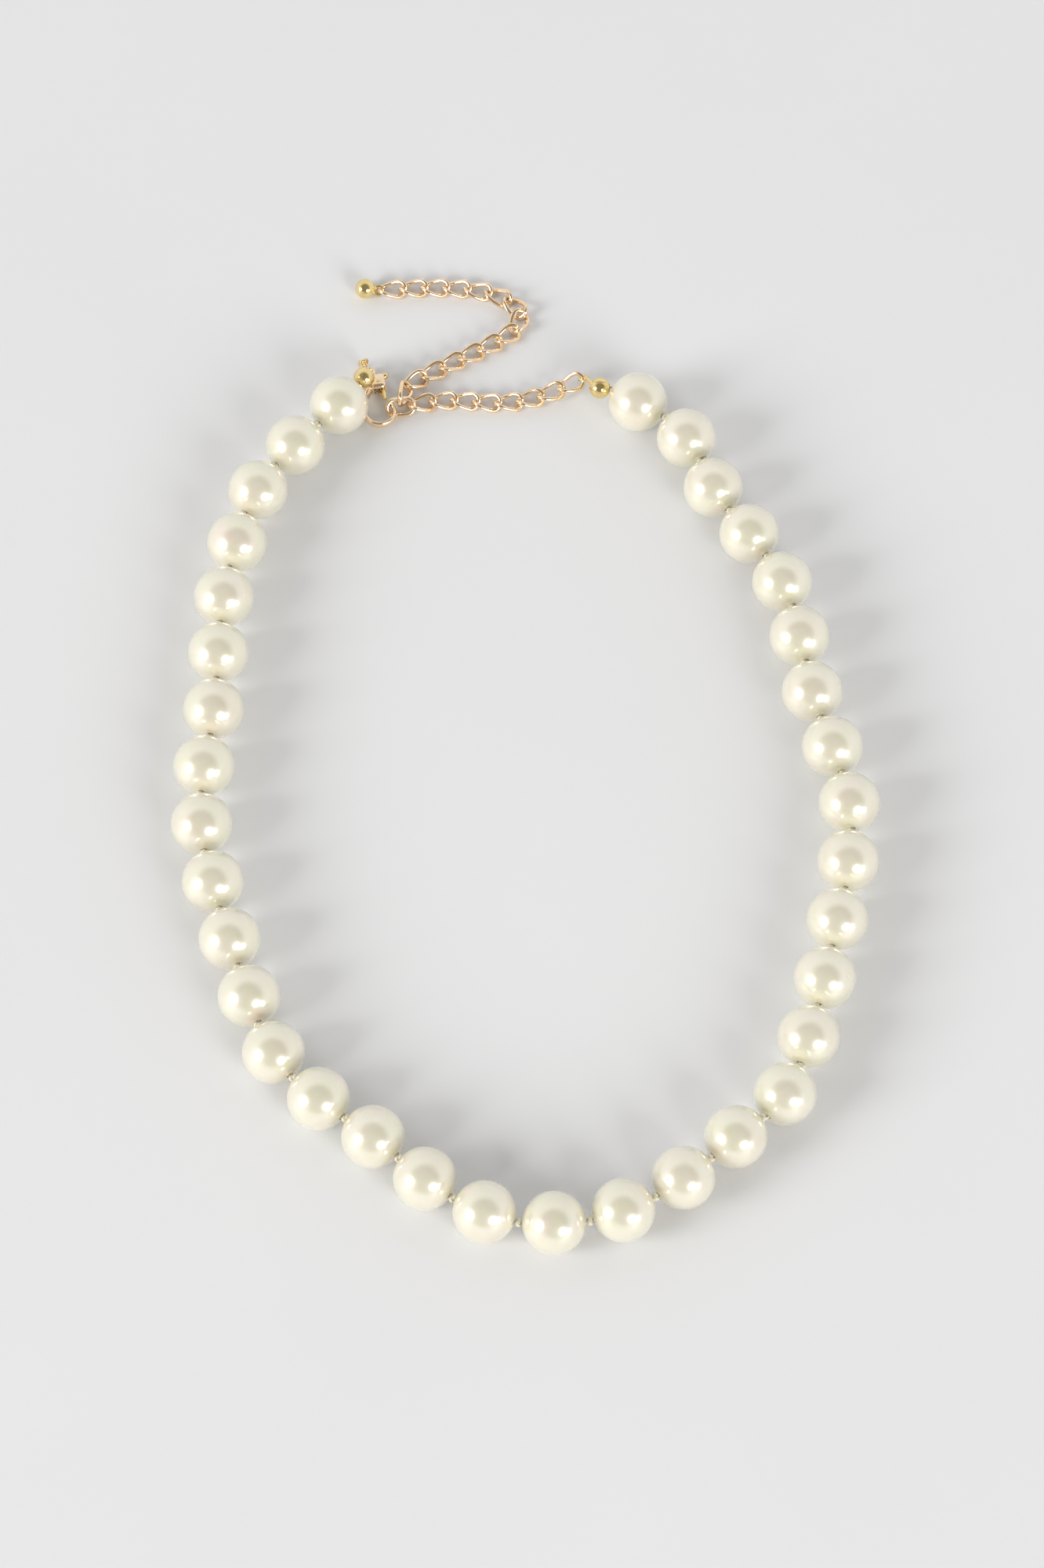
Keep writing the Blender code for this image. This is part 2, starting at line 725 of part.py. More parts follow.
def build_ball(last_span, holder):
    """The ball that ends the tail, with its eye round the last link."""
    start, end = last_span
    loop, bar = loop_centre(end, end - start, LINK_ROLL)
    forward = (end - start).normalized()
    rim = loop + forward * LOOP_RADIUS
    centre = rim + forward * BALL_DIAMETER / 2 * BALL_SINK
    centre.z = BALL_DIAMETER / 2
    solid = ball("end_ball", BALL_DIAMETER, centre)
    eye = as_mesh(wire("loop", ring_points(loop, bar, LOOP_RADIUS), LOOP_WIRE, True))
    combine(solid, "UNION", eye)
    hinge = pivot("end_ball", loop, UP, holder)
    finish(solid, tip_gold, hinge, frame(centre, forward))


def way(angle):
    """A direction over the floor."""
    return Vector((math.cos(angle), math.sin(angle), 0))


def build_necklace():
    clasp = build_clasp()
    spans, (run_hinge, tail_hinge) = build_chain(clasp)
    ring_hinge, ring_top, outward = build_ring(clasp)
    start, end = spans[1]
    loop_right, bar_right = loop_centre(start, start - end, math.pi + LINK_ROLL)
    tips = (tip_centre(ring_top, LEFT_TIP_HEADING), tip_centre(loop_right, RIGHT_TIP_HEADING))
    reach = PEARL_RADIUS + TIP_GAP + TIP_RADIUS
    first = tips[0] + reach * way(FIRST_HEADING)
    last = tips[1] + reach * way(LAST_HEADING)
    frames = strand_frames(strand_centres(first, last), tips)
    knots = knot_points(frames)
    left_hinge = build_tip("bead_tip_left", tips[0], ring_top, outward,
                           frames[0] @ -BORE_MOUTH, ring_hinge, DOWN)
    right_hinge = build_tip("bead_tip_right", tips[1], loop_right, bar_right,
                            frames[-1] @ BORE_MOUTH, run_hinge, UP)
    build_pearls(frames, knots, (left_hinge, right_hinge))
    build_thread(frames, knots, tips, clasp)
    build_ball(spans[LINK_COUNT], tail_hinge)


def settle_origin():
    """Moves the root so that the origin is under the middle of the necklace."""
    bpy.context.view_layer.update()
    depsgraph = bpy.context.evaluated_depsgraph_get()
    corners = []
    for obj in parts.objects:
        if obj.type == "EMPTY":
            continue
        evaluated = obj.evaluated_get(depsgraph)
        mesh = evaluated.to_mesh()
        corners.extend(obj.matrix_world @ vertex.co for vertex in mesh.vertices)
        evaluated.to_mesh_clear()
    low = [min(c[axis] for c in corners) for axis in range(3)]
    high = [max(c[axis] for c in corners) for axis in range(3)]
    root.location = (-(low[0] + high[0]) / 2, -(low[1] + high[1]) / 2, -low[2])


for existing in list(bpy.data.objects):
    bpy.data.objects.remove(existing)
parts = bpy.data.collections.new("pearl_necklace")
cutters = bpy.data.collections.new("cutters")
bpy.context.scene.collection.children.link(parts)
bpy.context.scene.collection.children.link(cutters)
ivory = material("ivory_pearl", (0.93, 0.89, 0.80), 0.18, 0.0)
gold = material("rose_gold", (0.86, 0.62, 0.38), 0.22, 1.0)
tip_gold = material("yellow_gold", (0.80, 0.64, 0.30), 0.20, 1.0)
silk = material("ivory_silk", (0.94, 0.92, 0.86), 0.60, 0.0)
steel = material("spring_steel", (0.62, 0.62, 0.64), 0.30, 1.0)
root = bpy.data.objects.new("necklace", None)
parts.objects.link(root)
placed[root.name] = Matrix()
build_necklace()
settle_origin()
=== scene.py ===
"""The looks of a knotted pearl necklace with a lobster clasp and an extender chain.

It lies fastened on a pale table. Metres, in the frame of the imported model.
"""
import json
import math
import random

import bpy
from mathutils import Matrix, Vector


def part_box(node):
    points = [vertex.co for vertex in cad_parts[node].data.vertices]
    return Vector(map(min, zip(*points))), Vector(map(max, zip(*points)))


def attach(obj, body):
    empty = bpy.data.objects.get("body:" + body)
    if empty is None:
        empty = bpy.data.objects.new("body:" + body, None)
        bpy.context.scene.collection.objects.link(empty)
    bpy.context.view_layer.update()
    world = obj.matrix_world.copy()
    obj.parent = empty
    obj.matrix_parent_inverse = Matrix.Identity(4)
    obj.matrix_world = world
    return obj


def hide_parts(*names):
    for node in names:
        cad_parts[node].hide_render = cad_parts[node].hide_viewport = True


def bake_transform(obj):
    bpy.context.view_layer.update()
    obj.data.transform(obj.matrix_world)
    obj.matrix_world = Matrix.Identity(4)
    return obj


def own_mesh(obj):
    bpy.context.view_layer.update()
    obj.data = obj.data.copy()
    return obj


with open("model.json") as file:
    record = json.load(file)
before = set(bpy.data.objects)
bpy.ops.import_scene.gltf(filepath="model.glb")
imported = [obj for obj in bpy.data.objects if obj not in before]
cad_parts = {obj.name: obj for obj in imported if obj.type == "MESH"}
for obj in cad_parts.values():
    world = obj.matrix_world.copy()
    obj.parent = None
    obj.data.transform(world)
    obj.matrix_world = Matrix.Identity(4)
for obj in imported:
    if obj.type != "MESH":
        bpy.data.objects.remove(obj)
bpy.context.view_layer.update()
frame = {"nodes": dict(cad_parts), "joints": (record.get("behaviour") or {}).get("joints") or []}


# ---- Table, lights and camera
# A matt pale grey table top in a white room. Two round soft boxes stand low at the near
# corners, the left one stronger, and a weak third fills the right. A long lens looks down
# from the near side, under a ceiling that is darker there.

TABLE_SIZE = 9
TABLE_CELLS = 14
TABLE_GREY = (0.825, 0.835, 0.86)
TABLE_DEEP = (0.818, 0.828, 0.854)
TABLE_PALE = (0.832, 0.842, 0.866)
WALL_WHITE = (0.97, 0.97, 0.98)
CEILING_BEIGE = (0.30, 0.28, 0.24)
CEILING_WAY = Vector((0, -0.515, 0.857))
CEILING_EDGES = (0.42, 0.74)
ROOM_STRENGTH = 0.90
LENS_MM = 126
SENSOR_MM = 36
AIM = Vector((-0.0006, -0.0097, 0.005))
CAMERA_AT = AIM + Vector((0, -0.4563, 0.7595))
LIGHT_DISTANCE = 4.5
LIGHTS = (
    # name, direction from the necklace, diameter, watts, colour
    ("left_box", Vector((-0.80, -0.41, 0.43)), 2.15, 120, (1.0, 0.99, 0.97)),
    ("right_box", Vector((0.48, -0.77, 0.42)), 1.95, 84, (1.0, 0.99, 0.97)),
    ("right_fill", Vector((0.76, -0.61, 0.22)), 1.70, 14, (0.97, 0.98, 1.0)),
)

scene = bpy.context.scene
scene.view_settings.view_transform = "Standard"

camera_data = bpy.data.cameras.new("camera")
camera_data.lens = LENS_MM
camera_data.sensor_width = SENSOR_MM
camera_data.clip_start = 0.01
camera = bpy.data.objects.new("camera", camera_data)
camera.location = CAMERA_AT
camera.rotation_euler = (AIM - CAMERA_AT).to_track_quat("-Z", "Y").to_euler()
scene.collection.objects.link(camera)
scene.camera = camera

for name, direction, diameter, watts, colour in LIGHTS:
    lamp = bpy.data.lights.new(name, "AREA")
    lamp.shape = "DISK"
    lamp.size = diameter
    lamp.energy = watts
    lamp.color = colour
    holder = bpy.data.objects.new(name, lamp)
    holder.location = direction.normalized() * LIGHT_DISTANCE
    holder.rotation_euler = (-direction).to_track_quat("-Z", "Y").to_euler()
    scene.collection.objects.link(holder)


def new_material(name, colour, roughness, metallic):
    """A material with its Principled shader, ready for its pattern nodes."""
    made = bpy.data.materials.new(name)
    made.use_nodes = True
    shader = made.node_tree.nodes["Principled BSDF"]
    shader.inputs["Base Color"].default_value = (*colour, 1)
    shader.inputs["Roughness"].default_value = roughness
    shader.inputs["Metallic"].default_value = metallic
    return made, made.node_tree, shader


def noise(tree, scale, detail=2.0):
    """A noise pattern fixed to the piece, with that many cells in a metre."""
    place = tree.nodes.new("ShaderNodeTexCoord")
    pattern = tree.nodes.new("ShaderNodeTexNoise")
    pattern.inputs["Scale"].default_value = scale
    pattern.inputs["Detail"].default_value = detail
    tree.links.new(place.outputs["Object"], pattern.inputs["Vector"])
    return pattern.outputs["Fac"]


def ramp(tree, fac, *stops):
    """Colours from (place, colour) stops along a pattern."""
    made = tree.nodes.new("ShaderNodeValToRGB")
    tree.links.new(fac, made.inputs["Fac"])
    elements = made.color_ramp.elements
    while len(elements) < len(stops):
        elements.new(0.5)
    for element, (place, colour) in zip(elements, stops):
        element.position = place
        element.color = (*colour, 1)
    return made.outputs["Color"]


def spread(tree, fac, low, high):
    """A number between low and high along a pattern."""
    made = tree.nodes.new("ShaderNodeMapRange")
    made.inputs["To Min"].default_value = low
    made.inputs["To Max"].default_value = high
    tree.links.new(fac, made.inputs["Value"])
    return made.outputs["Result"]


def bumps(tree, shader, fac, height):
    """Raises the surface along a pattern by up to that height in metres."""
    made = tree.nodes.new("ShaderNodeBump")
    made.inputs["Distance"].default_value = height
    tree.links.new(fac, made.inputs["Height"])
    tree.links.new(made.outputs["Normal"], shader.inputs["Normal"])


room = bpy.data.worlds.new("room")
room.use_nodes = True
scene.world = room
background = room.node_tree.nodes["Background"]
outlook = room.node_tree.nodes.new("ShaderNodeTexCoord")
toward = room.node_tree.nodes.new("ShaderNodeVectorMath")
toward.operation = "DOT_PRODUCT"
toward.inputs[1].default_value = CEILING_WAY.normalized()
room.node_tree.links.new(outlook.outputs["Generated"], toward.inputs[0])
wall_end, ceiling_start = CEILING_EDGES
walls = ramp(room.node_tree, toward.outputs["Value"],
             (wall_end, WALL_WHITE), (ceiling_start, CEILING_BEIGE))
room.node_tree.links.new(walls, background.inputs["Color"])
background.inputs["Strength"].default_value = ROOM_STRENGTH

table_top, tree, shader = new_material("table_top", TABLE_GREY, 0.55, 0.0)
shader.inputs["Specular IOR Level"].default_value = 0.25
grain = ramp(tree, noise(tree, TABLE_CELLS, 4), (0.3, TABLE_DEEP), (0.7, TABLE_PALE))
tree.links.new(grain, shader.inputs["Base Color"])
bpy.ops.mesh.primitive_grid_add(x_subdivisions=8, y_subdivisions=8, size=TABLE_SIZE)
floor = bpy.context.object
floor.name = "table"
floor.data.materials.append(table_top)


# ---- Where the pieces meet
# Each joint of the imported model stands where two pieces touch: a knot, a link's bar on the
# next link's bar, the clasp's rivet. Those points and the design's own lengths place all.

hinge_at = {joint["child"]: Vector(joint["pos_m"]) for joint in frame["joints"]}
UP = Vector((0, 0, 1))


def row(origin, forward, up=UP):
    """A right-handed frame: x to the left of travel, y up, z forward."""
    z = Vector(forward).normalized()
    x = Vector(up).cross(z).normalized()
    turned = Matrix((x, z.cross(x), z)).transposed().to_4x4()
    return Matrix.Translation(origin) @ turned


def middle(node):
    """The middle of a node's box."""
    low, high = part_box(node)
    return (low + high) / 2


def pick(piece):
    """Selects one piece alone and makes it the active one."""
    bpy.ops.object.select_all(action="DESELECT")
    piece.select_set(True)
    bpy.context.view_layer.objects.active = piece


def settle(piece, name, stuff, world=Matrix(), angle=40):
    """Puts a finished piece at its place with its object at the origin, shaded smooth."""
    piece.name = name
    piece.data.name = name
    piece.data.transform(piece.matrix_world)
    piece.matrix_world = Matrix()
    piece.data.transform(world)
    piece.data.materials.clear()
    piece.data.materials.append(stuff)
    pick(piece)
    bpy.ops.object.shade_smooth_by_angle(angle=math.radians(angle))
    return piece


def edit(piece, *steps):
    """Runs edit-mode steps on a piece, with nothing else selected."""
    pick(piece)
    bpy.ops.object.mode_set(mode="EDIT")
    for step in steps:
        step()
    bpy.ops.object.mode_set(mode="OBJECT")


def apply(piece, kind, **values):
    """Adds a modifier with those values and applies it."""
    pick(piece)
    modifier = piece.modifiers.new(kind.lower(), kind)
    for key, value in values.items():
        setattr(modifier, key, value)
    bpy.ops.object.modifier_apply(modifier=modifier.name)
    return piece


def clean(piece, distance=1e-6):
    """Merges doubles and turns all faces outwards."""
    edit(
        piece,
        lambda: bpy.ops.mesh.select_all(action="SELECT"),
        lambda: bpy.ops.mesh.remove_doubles(threshold=distance),
        lambda: bpy.ops.mesh.normals_make_consistent(inside=False),
    )
    return piece


# ---- Gold plating
# Brass castings and wire, polished and plated: the chain and clasp in a warm rose gold, the
# bead tips and end ball in a greener yellow gold, both with fine rubbing marks.

TINT_CELLS = 900
RUB_CELLS = 5200
RIPPLE_CELLS = 1500
RIPPLE = 0.000012


def plated(name, pale, deep, roughness):
    """Polished metal between two tints, rubbed and faintly rippled."""
    made, tree, shader = new_material(name, pale, roughness, 1.0)
    tint = ramp(tree, noise(tree, TINT_CELLS, 3), (0.35, deep), (0.62, pale))
    tree.links.new(tint, shader.inputs["Base Color"])
    rub = noise(tree, RUB_CELLS, 4)
    tree.links.new(spread(tree, rub, roughness * 0.7, roughness * 1.4), shader.inputs["Roughness"])
    bumps(tree, shader, noise(tree, RIPPLE_CELLS, 3), RIPPLE)
    return made


rose_gold = plated("rose_gold", (0.99, 0.80, 0.58), (0.96, 0.72, 0.47), 0.15)
yellow_gold = plated("yellow_gold", (0.93, 0.75, 0.38), (0.86, 0.66, 0.28), 0.12)


# ---- Clasp body
# A lost-wax casting: a tapered hook, a head slotted for the lever and a closed eye. It is
# flat-sided where the mould parted, and tumbled until its edges are soft.

HOOK_RADIUS = 0.0025
HOOK_WIRE = 0.0009
HOOK_DEPTH = 1.65
HOOK_THICK = 0.00048
HOOK_TAPER = 0.00012
HOOK_STEPS = 8
HOOK_TIP = math.radians(57)
HELD_ANGLE = math.radians(14)
BEND = Vector((0, HOOK_RADIUS + HOOK_WIRE / 2, 0))
RIVET = BEND + Vector((0.0006, 0.0057, 0))
EYE = RIVET + Vector((-0.0013, 0.00275, 0))
EYE_RADIUS = 0.00088
EYE_WIRE = 0.00068
HEAD = Vector((0.0029, 0.0031, 0.0024))
HEAD_AT = RIVET + Vector((-0.0002, 0.0003, 0))
HEAD_EDGE = 0.0007
SLOT = Vector((0.0060, 0.0062, 0.0013))
SLOT_BACK = 0.0009
SLOT_EDGE = 0.0001
RIVET_HOLE = 0.00032
CAST_DETAIL = 0.00007

on_bend = BEND + HOOK_RADIUS * Vector((math.cos(HELD_ANGLE), math.sin(HELD_ANGLE), 0))
seen = (hinge_at["clasp_lever"] - hinge_at["chain_link_09"]).to_2d()
drawn = (RIVET - on_bend).to_2d()
clasp_place = Matrix.Rotation(-drawn.angle_signed(seen), 4, "Z")
clasp_place.translation = hinge_at["clasp_lever"] - clasp_place.to_3x3() @ RIVET


def bent_wire(points, radii, closed=False, sides=16):
    """A round wire through points, smooth, with its radius at each point."""
    bpy.ops.object.select_all(action="DESELECT")
    bpy.ops.curve.primitive_bezier_curve_add()
    piece = bpy.context.object
    curve = piece.data
    curve.splines.clear()
    curve.bevel_depth = 1.0
    curve.bevel_resolution = sides // 2 - 2
    curve.use_fill_caps = not closed
    curve.resolution_u = 6
    spline = curve.splines.new("BEZIER")
    spline.bezier_points.add(len(points) - 1)
    for knot, point, radius in zip(spline.bezier_points, points, radii):
        knot.co = point
        knot.radius = radius
        knot.handle_left_type = knot.handle_right_type = "AUTO"
    spline.use_cyclic_u = closed
    bpy.ops.object.convert(target="MESH")
    return clean(bpy.context.object)


def ring_of(radius, wire, place=Matrix(), around=40, sides=16):
    """A plain round ring of wire."""
    bpy.ops.object.select_all(action="DESELECT")
    bpy.ops.mesh.primitive_torus_add(
        major_segments=around, minor_segments=sides, major_radius=radius, minor_radius=wire / 2)
    piece = bpy.context.object
    piece.data.transform(place)
    return piece


def rounded_block(size, at, edge):
    """A box with round edges."""
    bpy.ops.object.select_all(action="DESELECT")
    bpy.ops.mesh.primitive_cube_add(size=1)
    piece = bpy.context.object
    piece.data.transform(Matrix.Translation(at) @ Matrix.Diagonal((*size, 1)))
    return apply(piece, "BEVEL", width=edge, segments=5, limit_method="NONE")


def turned_rod(radius, length, at, sides=32):
    """A plain round rod along z."""
    bpy.ops.object.select_all(action="DESELECT")
    bpy.ops.mesh.primitive_cylinder_add(vertices=sides, radius=radius, depth=length)
    piece = bpy.context.object
    piece.data.transform(Matrix.Translation(at))
    return piece


def round_ball(radius, around):
    """A ball with its poles on z."""
    bpy.ops.object.select_all(action="DESELECT")
    bpy.ops.mesh.primitive_uv_sphere_add(segments=around, ring_count=around // 2, radius=radius)
    return bpy.context.object


def join_solid(piece, operation, *others):
    """Booleans the others into or out of a piece, and removes them."""
    for other in others:
        apply(piece, "BOOLEAN", operation=operation, object=other, solver="EXACT")
        bpy.data.objects.remove(other)
    return piece


def cast(piece, detail, rounds=6):
    """Melts the joins of a piece together, as in one casting."""
    apply(piece, "REMESH", mode="VOXEL", voxel_size=detail)
    return apply(piece, "SMOOTH", factor=0.5, iterations=rounds)


spine = [
    (RIVET + Vector((-0.0010, 0.0006, 0)), 0.00062),
    (RIVET + Vector((-0.0019, -0.0012, 0)), 0.00060),
    (BEND + Vector((-0.0022, 0.0030, 0)), 0.00054),
    (BEND + Vector((-0.0025, 0.0012, 0)), 0.00050),
]
for step in range(HOOK_STEPS + 1):
    turn = math.pi + (math.pi + HOOK_TIP) * step / HOOK_STEPS
    at = BEND + HOOK_RADIUS * Vector((math.cos(turn), math.sin(turn), 0))
    spine.append((at, HOOK_THICK - HOOK_TAPER * step / HOOK_STEPS))
hook = bent_wire([point for point, _ in spine], [radius for _, radius in spine])
hook.data.transform(Matrix.Diagonal((1, 1, HOOK_DEPTH, 1)))
head = rounded_block(HEAD, HEAD_AT, HEAD_EDGE)
eye = ring_of(EYE_RADIUS, EYE_WIRE, Matrix.Translation(EYE))
eye.data.transform(Matrix.Diagonal((1, 1, 1.2, 1)))
cast(join_solid(hook, "UNION", head, eye), CAST_DETAIL)
slot_at = Vector((RIVET.x - SLOT_BACK + SLOT.x / 2, HEAD_AT.y + HEAD.y / 2 - SLOT.y / 2, 0))
slot = rounded_block(SLOT, slot_at, SLOT_EDGE)
rivet_hole = turned_rod(RIVET_HOLE, 2.5 * HEAD.z, RIVET)
join_solid(hook, "DIFFERENCE", slot, rivet_hole)
clean(hook)
settle(hook, "cast_clasp_hook", rose_gold, clasp_place)
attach(hook, "clasp")
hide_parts("clasp_body")


# ---- Clasp rivet and spring
# A brass rivet, peened to a low dome at both ends, carries the lever. Under the lever's hub
# sits a bent leaf of spring wire that pushes the gate shut.

RIVET_RADIUS = 0.00030
RIVET_PROUD = 0.0001
RIVET_DOME = 0.00012
SPRING_WIRE = 0.0002

rivet = turned_rod(RIVET_RADIUS, HEAD.z + 2 * RIVET_PROUD, RIVET)
apply(rivet, "BEVEL", width=RIVET_DOME, segments=4, limit_method="ANGLE")
settle(rivet, "clasp_rivet", yellow_gold, clasp_place)
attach(rivet, "clasp")
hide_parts("clasp_pin")

spring_steel, tree, shader = new_material("spring_steel", (0.62, 0.62, 0.64), 0.28, 1.0)
drawn_marks = noise(tree, 4000, 2)
tree.links.new(spread(tree, drawn_marks, 0.2, 0.4), shader.inputs["Roughness"])
leaf = [Vector(offset) + RIVET for offset in (
    (-0.0001, -0.00118, 0), (-0.0004, -0.00100, 0), (-0.0007, -0.00110, 0),
    (-0.0007, -0.00140, 0), (-0.0004, -0.00165, 0),
)]
spring = bent_wire(leaf, [SPRING_WIRE / 2] * len(leaf), sides=10)
settle(spring, "clasp_leaf_spring", spring_steel, clasp_place)
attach(spring, "clasp")
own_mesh(spring)
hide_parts("clasp_spring")


# ---- Clasp lever
# One small casting on the rivet: a gate that closes the hook, a hub and a thumb knob that
# stands out of the head's side.

LEVER = 0.0008
LEVER_DETAIL = 0.00005
LEVER_HOLE = 0.00036
HUB_RADIUS = 0.00075
GATE_GAP = 0.0004
KNOB_RADIUS = 0.00062
KNOB_FLAT = 0.85

tip_of_hook = BEND + HOOK_RADIUS * Vector((math.cos(HOOK_TIP), math.sin(HOOK_TIP), 0))
gate_end = tip_of_hook + (RIVET - tip_of_hook).normalized() * GATE_GAP
gate = bent_wire(
    [RIVET, RIVET.lerp(gate_end, 0.5) + Vector((0.00025, 0.00012, 0)), gate_end],
    [0.00042, 0.00038, 0.00034])
thumb = RIVET + Vector((0.0013, 0.0017, 0))
tab = bent_wire([RIVET, RIVET.lerp(thumb, 0.6) + Vector((0.0001, 0, 0)), thumb],
                [0.00040, 0.00036, 0.00036])
hub = turned_rod(HUB_RADIUS, LEVER, RIVET)
knob = round_ball(KNOB_RADIUS, 32)
knob.data.transform(Matrix.Translation(thumb) @ Matrix.Diagonal((1, 1, KNOB_FLAT, 1)))
cast(join_solid(gate, "UNION", tab, hub, knob), LEVER_DETAIL, 4)
join_solid(gate, "DIFFERENCE", turned_rod(LEVER_HOLE, 5 * LEVER, RIVET))
clean(gate)
settle(gate, "clasp_gate_lever", yellow_gold, clasp_place)
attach(gate, "clasp_lever")
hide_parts("clasp_lever")


# ---- Jump ring
# Round wire bent into a ring and closed edge to edge, so a hair-thin cut shows where its two
# ends meet. It hangs the left bead tip on the clasp's eye.

RING_RADIUS = 0.00125
RING_WIRE = 0.0005
RING_CUT = 0.00005
RING_OUT = Vector((-0.66, 0.75, 0)).normalized()
ring_place = row(middle("jump_ring"), RING_OUT.cross(UP))
ring = ring_of(RING_RADIUS, RING_WIRE, around=64)
cut = rounded_block((0.0009, RING_CUT, 0.0009), Vector((RING_RADIUS, 0, 0)), RING_CUT / 5)
join_solid(ring, "DIFFERENCE", cut)
clean(ring)
settle(ring, "eye_jump_ring", rose_gold, ring_place)
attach(ring, "jump_ring")
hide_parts("jump_ring")


# ---- Bead tips
# A clamshell of thin plated sheet: two cups folded shut over the thread's end knot, with a
# seam between them, a thread hole, and a wire hook rolled into a loop at the back.

PEARL_RADIUS = 0.005
TIP_RADIUS = 0.0018
TIP_WALL = 0.0003
TIP_HOLE = 0.00045
TIP_GAP = 0.0002
SEAM_WIRE = 0.00016
SEAM_PROUD = 0.00002
FIRST_HEADING = math.radians(234)
LAST_HEADING = math.radians(-24)
LOOP_RADIUS = 0.00078
LOOP_WIRE = 0.00044
TIP_REACH = PEARL_RADIUS + TIP_GAP + TIP_RADIUS
LINK_PITCH = 0.0037
LINK_ROLL = math.radians(45)
BAR_OFFSET = 0.00045


def tip_middle(pearl, heading):
    """A bead tip stands one reach from its pearl, against the strand's heading there."""
    return middle(pearl) - TIP_REACH * Vector((math.cos(heading), math.sin(heading), 0))


def open_ends(piece, unwanted):
    """Deletes the vertices whose place is unwanted."""
    edit(
        piece,
        lambda: bpy.ops.mesh.select_mode(type="VERT"),
        lambda: bpy.ops.mesh.select_all(action="DESELECT"),
    )
    for vertex in piece.data.vertices:
        vertex.select = unwanted(vertex.co)
    edit(piece, lambda: bpy.ops.mesh.delete(type="VERT"))


def clamshell():
    """The two closed cups along z, with the hole ahead and a seam round the sides."""
    piece = round_ball(TIP_RADIUS, 48)
    hole_top = math.sqrt(TIP_RADIUS ** 2 - TIP_HOLE ** 2)
    open_ends(piece, lambda at: at.z > hole_top)
    apply(piece, "SOLIDIFY", thickness=TIP_WALL, offset=-1.0)
    seam = ring_of(TIP_RADIUS + SEAM_PROUD, SEAM_WIRE,
                   Matrix.Rotation(math.radians(90), 4, "Y"), 64, 8)
    join_solid(piece, "DIFFERENCE", seam)
    return piece


def bead_tip(name, node, centre, loop, bar, mouth):
    """Shell, stem and loop in one piece, riding on the tip's body."""
    shell = clamshell()
    shell.data.transform(row(centre, mouth - centre))
    toward = (loop - centre).normalized()
    away = centre - loop
    away = (away - bar * away.dot(bar)).normalized()
    rim = loop + away * LOOP_RADIUS
    stem = bent_wire(
        [centre + toward * (TIP_RADIUS - TIP_WALL * 0.6), centre.lerp(rim, 0.7), rim],
        [0.00036, 0.00030, 0.00024])
    side = UP if abs(bar.z) < 0.9 else Vector((1, 0, 0))
    loop_ring = ring_of(LOOP_RADIUS, LOOP_WIRE, row(loop, bar, side))
    join_solid(shell, "UNION", stem, loop_ring)
    clean(shell)
    settle(shell, name, yellow_gold)
    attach(shell, node)
    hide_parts(node)


left_mouth = hinge_at["pearl_01"]
right_mouth = hinge_at["pearl_35"]
left_tip = tip_middle("pearl_01", FIRST_HEADING)
right_tip = tip_middle("pearl_35", LAST_HEADING)


def mean_point(node):
    """The middle of a node's surface."""
    mesh = frame["nodes"][node].data
    area = sum(face.area for face in mesh.polygons)
    return sum((face.center * face.area for face in mesh.polygons), Vector()) / area


# The first two links share a node and hang on the right tip's loop, a bar past their end.
# Their middles average to the node's own, which gives the point where the two meet.
chain_end = hinge_at["bead_tip_right"]
pair_end = hinge_at["chain_link_01_02"]
hold = LINK_PITCH / (LINK_PITCH + BAR_OFFSET)
first_meeting = (4 * mean_point("chain_link_01_02") - pair_end - hold * chain_end) / (3 - hold)
chain_start = first_meeting.lerp(chain_end, hold)
first_link = row(chain_start, first_meeting - chain_start).to_3x3()
right_bar = first_link @ Vector((math.cos(LINK_ROLL), -math.sin(LINK_ROLL), 0))
bead_tip("clamshell_tip_left", "bead_tip_left", left_tip, hinge_at["bead_tip_left"],
         RING_OUT, left_mouth)
bead_tip("clamshell_tip_right", "bead_tip_right", right_tip, chain_end, right_bar, right_mouth)


# ---- Silk thread and knots
# Twisted silk, knotted once in every gap so that no pearl rubs the next. Its cream-yellow is
# partly the silk's own ivory and partly painted light: the warm glow bounced between the pearls.
# Each length here runs from one pearl's middle to the next one's, with the knot between their
# mouths.

PEARLS = 35
THREAD = 0.0004
KNOT = 0.0016
KNOT_LENGTH = 0.00068
KNOT_LOBE = KNOT * 0.17
KNOT_STEPS = 24
END_KNOT = 0.0016
OPEN_AFTER = "pearl_17"

# Base and fibre colours: ivory silk, made more yellow with painted bounce light from the pearls.
silk, tree, shader = new_material("ivory_silk", (0.95, 0.90, 0.72), 0.45, 0.0)
shader.inputs["Sheen Weight"].default_value = 0.5
shader.inputs["Sheen Roughness"].default_value = 0.4
shader.inputs["Coat Weight"].default_value = 0.35
shader.inputs["Coat Roughness"].default_value = 0.12
fibres = noise(tree, 9000, 3)
tree.links.new(ramp(tree, fibres, (0.3, (0.92, 0.85, 0.64)), (0.7, (0.97, 0.93, 0.80))),
               shader.inputs["Base Color"])
bumps(tree, shader, fibres, 0.00004)

pearl_names = [f"pearl_{number:02d}" for number in range(1, PEARLS + 1)]
centres = [middle(name) for name in pearl_names]
line = [left_tip, *centres, right_tip]
bores = [row(here, after - before)
         for before, here, after in zip(line, line[1:], line[2:])]
mouth = Vector((0, 0, PEARL_RADIUS))


def knot_loop(centre, forward, width, length):
    """The path of an overhand knot drawn tight: three lobes round the thread."""
    place = row(centre, forward)
    points = []
    for step in range(KNOT_STEPS):
        turn = 2 * math.pi * step / KNOT_STEPS
        x = (math.sin(turn) + 2 * math.sin(2 * turn)) / 3
        y = (math.cos(turn) - 2 * math.cos(2 * turn)) / 3
        z = -math.sin(3 * turn)
        points.append(place @ Vector((x * width, y * width, z * length)))
    return points


